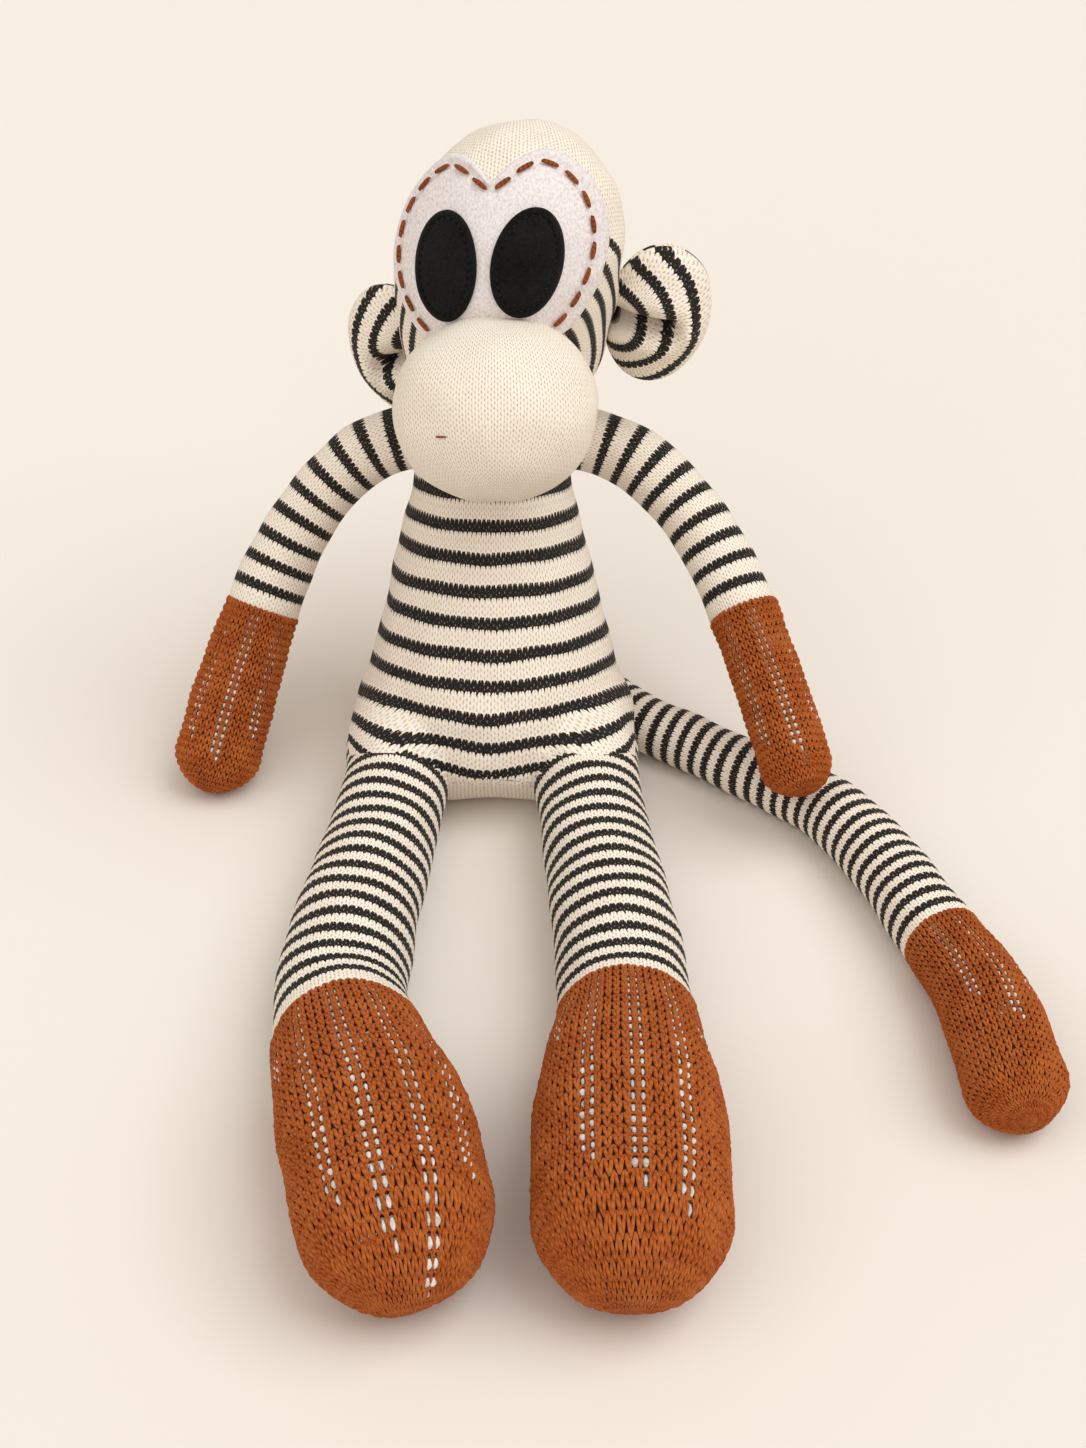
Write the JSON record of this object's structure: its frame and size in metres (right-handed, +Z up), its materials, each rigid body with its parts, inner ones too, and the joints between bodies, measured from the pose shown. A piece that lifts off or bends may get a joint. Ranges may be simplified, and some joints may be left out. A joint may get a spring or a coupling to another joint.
{
  "type": "sock monkey doll",
  "caption": "Sitting stuffed monkey sewn from striped socks, with a heart-shaped felt face, padded muzzle, felt eyes, rust hands, feet and tail tip, and a head, ears, limbs and tail that move.",
  "frame": {"origin": "on the flat under the seat, where the toy sits on the floor, 10 mm behind the middle of that flat", "axes": "+Z up from the floor, -Y the way the toy faces and its legs point, +X towards the toy's own left, which is the viewer's right"},
  "size_m": [0.3166, 0.3818, 0.2424],
  "materials": {
    "striped_knit": "fine sock knit, cream with black stripes",
    "cream_knit": "fine sock knit",
    "rust_knit": "bulky knit",
    "white_felt": "brushed felt",
    "black_felt": "pressed felt",
    "rust_thread": "twisted thread",
    "stuffing": "loose white fibre"
  },
  "bodies": {
    "torso_body": {"torso": "striped_knit", "seat_panel": "cream_knit", "torso_stuffing": "stuffing"},
    "neck_body": {"neck": "cream_knit"},
    "head_body": {"head_cheeks": "striped_knit", "head_crown": "cream_knit", "head_stuffing": "stuffing", "muzzle": "cream_knit", "muzzle_stuffing": "stuffing", "mouth_stitch": "rust_thread", "face_patch": "white_felt", "eye_left": "black_felt", "eye_right": "black_felt", "face_stitch_01": "rust_thread", "face_stitch_02": "rust_thread", "face_stitch_03": "rust_thread", "face_stitch_04": "rust_thread", "face_stitch_05": "rust_thread", "face_stitch_06": "rust_thread", "face_stitch_07": "rust_thread", "face_stitch_08": "rust_thread", "face_stitch_09": "rust_thread", "face_stitch_10": "rust_thread", "face_stitch_11": "rust_thread", "face_stitch_12": "rust_thread", "face_stitch_13": "rust_thread", "face_stitch_14": "rust_thread", "face_stitch_15": "rust_thread", "face_stitch_16": "rust_thread", "face_stitch_17": "rust_thread", "face_stitch_18": "rust_thread", "face_stitch_19": "rust_thread", "face_stitch_20": "rust_thread"},
    "ear_left_body": {"ear_left": "striped_knit", "ear_left_stuffing": "stuffing"},
    "ear_right_body": {"ear_right": "striped_knit", "ear_right_stuffing": "stuffing"},
    "arm_left_body": {"arm_left": "striped_knit", "hand_left": "rust_knit", "arm_left_stuffing": "stuffing"},
    "arm_right_body": {"arm_right": "striped_knit", "hand_right": "rust_knit", "arm_right_stuffing": "stuffing"},
    "leg_left_body": {"leg_left": "striped_knit", "foot_left": "rust_knit", "leg_left_stuffing": "stuffing"},
    "leg_right_body": {"leg_right": "striped_knit", "foot_right": "rust_knit", "leg_right_stuffing": "stuffing"},
    "tail_body": {"tail": "striped_knit", "tail_tip": "rust_knit", "tail_stuffing": "stuffing"}
  },
  "joints": [
    {"name": "neck_turn", "type": "hinge", "parent": "torso_body", "child": "neck_body", "pos_m": [0, 0.042, 0.1295], "axis": [0, 0, -1], "range_deg": [-6, 30]},
    {"name": "head_nod", "type": "hinge", "parent": "neck_body", "child": "head_body", "pos_m": [0, 0.042, 0.1295], "axis": [1, 0, 0], "range_deg": [-12, 12]},
    {"name": "ear_left_fold", "type": "hinge", "parent": "head_body", "child": "ear_left_body", "pos_m": [0.04549, 0.04164, 0.17221], "axis": [0.1701, 0.0072, 0.9854], "range_deg": [-15, 15]},
    {"name": "ear_right_fold", "type": "hinge", "parent": "head_body", "child": "ear_right_body", "pos_m": [-0.02166, 0.0669, 0.14365], "axis": [-0.4267, 0.2944, 0.8551], "range_deg": [-15, 12]},
    {"name": "shoulder_left", "type": "hinge", "parent": "torso_body", "child": "arm_left_body", "pos_m": [0.019, 0.042, 0.1145], "axis": [-1, 0, 0], "range_deg": [0, 75]},
    {"name": "shoulder_right", "type": "hinge", "parent": "torso_body", "child": "arm_right_body", "pos_m": [-0.019, 0.042, 0.1145], "axis": [-1, 0, 0], "range_deg": [0, 75]},
    {"name": "hip_left", "type": "hinge", "parent": "torso_body", "child": "leg_left_body", "pos_m": [0.036, -0.03, 0.0195], "axis": [-1, 0, 0], "range_deg": [0, 30]},
    {"name": "hip_right", "type": "hinge", "parent": "torso_body", "child": "leg_right_body", "pos_m": [-0.036, -0.03, 0.0195], "axis": [-1, 0, 0], "range_deg": [0, 30]},
    {"name": "tail_swing", "type": "hinge", "parent": "torso_body", "child": "tail_body", "pos_m": [0.036, 0.021, 0.0107], "axis": [0, 0, 1], "range_deg": [0, 110]}
  ]
}
